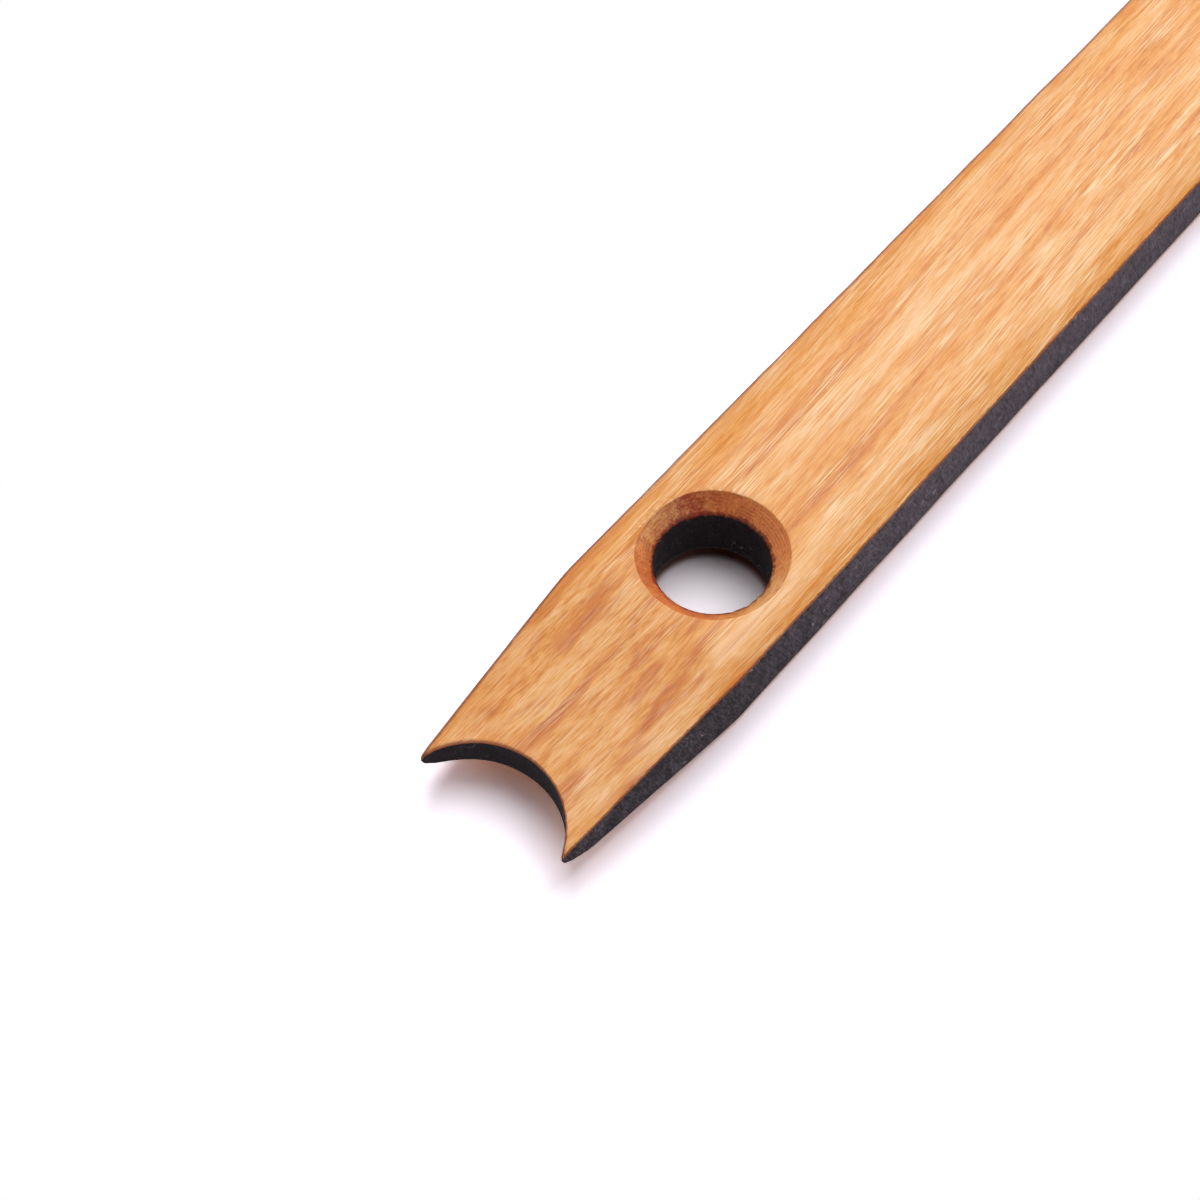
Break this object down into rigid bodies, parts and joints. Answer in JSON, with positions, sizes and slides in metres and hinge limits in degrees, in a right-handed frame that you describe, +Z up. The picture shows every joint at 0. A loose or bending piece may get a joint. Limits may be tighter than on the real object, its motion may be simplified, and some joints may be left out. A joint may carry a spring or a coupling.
{
  "type": "pottery foot stick",
  "caption": "Flat wooden pottery stick with a thinned concave foot end, a countersunk hanging hole behind it, softly shouldered faces and a rounded far end.",
  "frame": {"origin": "middle of the underside, on the plane that the stick lies on", "axes": "+X runs from the concave foot end to the round far end, +Y across the stick, +Z up through its thickness"},
  "size_m": [0.203, 0.0226, 0.0098],
  "materials": {
    "wood": "fine-sanded, lightly oiled pale orange-brown hardwood with a satin sheen; the upright cut walls are charred black"
  },
  "bodies": {
    "root": {"foot_stick": "wood"}
  },
  "joints": []
}
